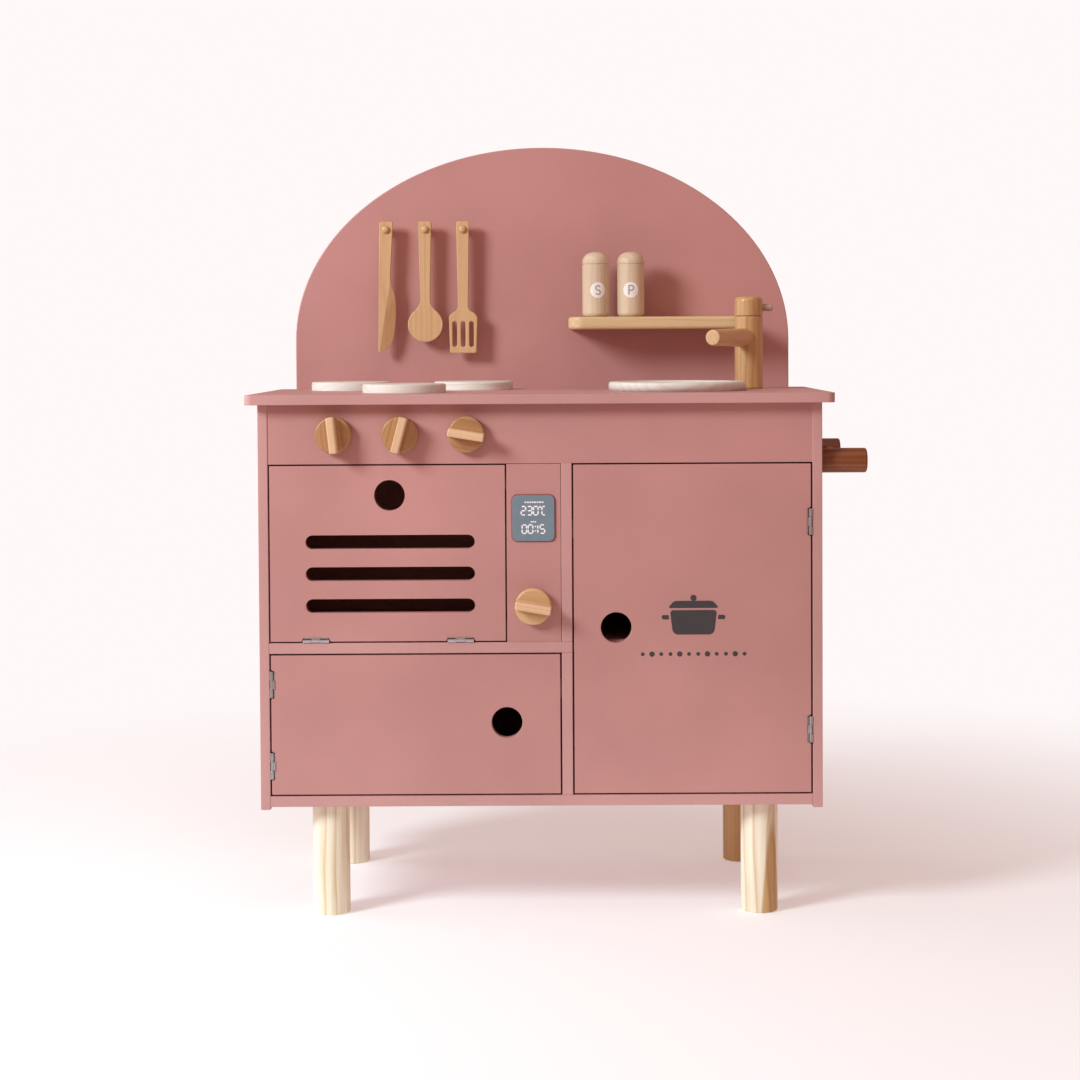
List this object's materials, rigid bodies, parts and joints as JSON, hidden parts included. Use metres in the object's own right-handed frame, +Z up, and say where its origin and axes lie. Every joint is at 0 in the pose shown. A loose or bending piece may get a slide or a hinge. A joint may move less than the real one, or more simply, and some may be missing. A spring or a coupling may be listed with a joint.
{
  "type": "toy kitchen",
  "caption": "Painted wooden play kitchen with hinged doors, hob discs, sink, turning tap, knobs, towel rail, utensils, shakers and a half-round backboard.",
  "frame": {"origin": "on the floor, under the middle of the bounding box", "axes": "+X to the right seen from the front, +Y towards the back, +Z up"},
  "size_m": [0.636, 0.319, 0.8135],
  "materials": {
    "painted_wood": "satin pink paint on board",
    "beech": "oiled beech",
    "pine": "bare pine dowel with strong grain",
    "limed_wood": "whitewashed wood",
    "hinge_steel": "zinc plated",
    "display": "printed panel under clear film",
    "white_plastic": "moulded"
  },
  "bodies": {
    "cabinet": {"side_panel_left": "painted_wood", "side_panel_right": "painted_wood", "bottom_panel": "painted_wood", "rear_panel": "painted_wood", "centre_divider": "painted_wood", "oven_shelf": "painted_wood", "cupboard_shelf": "painted_wood", "control_fascia": "painted_wood", "display_panel": "painted_wood", "display_plate": "display", "countertop": "painted_wood", "arched_backboard": "painted_wood", "leg_front_left": "pine", "leg_front_right": "pine", "leg_rear_left": "pine", "leg_rear_right": "pine", "oven_hinge_1_fixed_leaf": "hinge_steel", "oven_hinge_2_fixed_leaf": "hinge_steel", "lower_hinge_1_fixed_leaf": "hinge_steel", "lower_hinge_2_fixed_leaf": "hinge_steel", "right_hinge_1_fixed_leaf": "hinge_steel", "right_hinge_2_fixed_leaf": "hinge_steel", "magnet_catch_oven": "white_plastic", "magnet_catch_lower": "white_plastic", "magnet_catch_right": "white_plastic", "towel_post_front": "beech", "towel_post_rear": "beech", "towel_bar": "beech", "peg_knife": "beech", "peg_spoon": "beech", "peg_turner": "beech", "spice_shelf": "beech", "sink_rim": "limed_wood", "sink_basin": "limed_wood", "burner_rear_left": "limed_wood", "burner_rear_right": "limed_wood", "burner_front": "limed_wood"},
    "oven_door": {"oven_door": "painted_wood", "oven_hinge_1_door_leaf": "hinge_steel", "oven_hinge_2_door_leaf": "hinge_steel"},
    "lower_door": {"lower_door": "painted_wood", "lower_hinge_1_door_leaf": "hinge_steel", "lower_hinge_2_door_leaf": "hinge_steel"},
    "right_door": {"right_door": "painted_wood", "right_hinge_1_door_leaf": "hinge_steel", "right_hinge_2_door_leaf": "hinge_steel"},
    "knob_1": {"knob_1": "beech"},
    "knob_2": {"knob_2": "beech"},
    "knob_3": {"knob_3": "beech"},
    "knob_4": {"knob_4": "beech"},
    "faucet": {"faucet_post": "beech", "faucet_spout": "beech", "faucet_nut": "white_plastic"},
    "faucet_cap": {"faucet_cap": "beech", "faucet_lever": "beech"},
    "knife": {"knife": "beech"},
    "spoon": {"spoon": "beech"},
    "turner": {"turner": "beech"},
    "salt_shaker": {"salt_shaker": "beech"},
    "pepper_shaker": {"pepper_shaker": "beech"}
  },
  "joints": [
    {"name": "oven_door_hinge", "type": "hinge", "parent": "cabinet", "child": "oven_door", "pos_m": [-0.1735, -0.1355, 0.2872], "axis": [1, 0, 0], "range_deg": [0, 90]},
    {"name": "lower_door_hinge", "type": "hinge", "parent": "cabinet", "child": "lower_door", "pos_m": [-0.2938, -0.1355, 0.2005], "axis": [0, 0, -1], "range_deg": [0, 110]},
    {"name": "right_door_hinge", "type": "hinge", "parent": "cabinet", "child": "right_door", "pos_m": [0.2578, -0.1355, 0.3005], "axis": [0, 0, 1], "range_deg": [0, 110]},
    {"name": "knob_1_turn", "type": "hinge", "parent": "cabinet", "child": "knob_1", "pos_m": [-0.2282, -0.1405, 0.498], "axis": [0, 1, 0], "continuous": true},
    {"name": "knob_2_turn", "type": "hinge", "parent": "cabinet", "child": "knob_2", "pos_m": [-0.1604, -0.1405, 0.498], "axis": [0, 1, 0], "continuous": true},
    {"name": "knob_3_turn", "type": "hinge", "parent": "cabinet", "child": "knob_3", "pos_m": [-0.0928, -0.1405, 0.498], "axis": [0, 1, 0], "continuous": true},
    {"name": "knob_4_turn", "type": "hinge", "parent": "cabinet", "child": "knob_4", "pos_m": [-0.0256, -0.1405, 0.322], "axis": [0, 1, 0], "continuous": true},
    {"name": "faucet_swivel", "type": "hinge", "parent": "cabinet", "child": "faucet", "pos_m": [0.2113, 0.0615, 0.56], "axis": [0, 0, 1], "range_deg": [-60, 60]},
    {"name": "faucet_lever_turn", "type": "hinge", "parent": "faucet", "child": "faucet_cap", "pos_m": [0.2113, 0.0615, 0.628], "axis": [0, 0, 1], "range_deg": [-90, 90]},
    {"name": "knife_lift_off", "type": "slide", "parent": "cabinet", "child": "knife", "axis": [0, -1, 0], "range_m": [0, 0.3]},
    {"name": "spoon_lift_off", "type": "slide", "parent": "cabinet", "child": "spoon", "axis": [0, -1, 0], "range_m": [0, 0.3]},
    {"name": "turner_lift_off", "type": "slide", "parent": "cabinet", "child": "turner", "axis": [0, -1, 0], "range_m": [0, 0.3]},
    {"name": "salt_shaker_lift", "type": "slide", "parent": "cabinet", "child": "salt_shaker", "axis": [0, 0, 1], "range_m": [0, 0.2]},
    {"name": "pepper_shaker_lift", "type": "slide", "parent": "cabinet", "child": "pepper_shaker", "axis": [0, 0, 1], "range_m": [0, 0.2]}
  ]
}
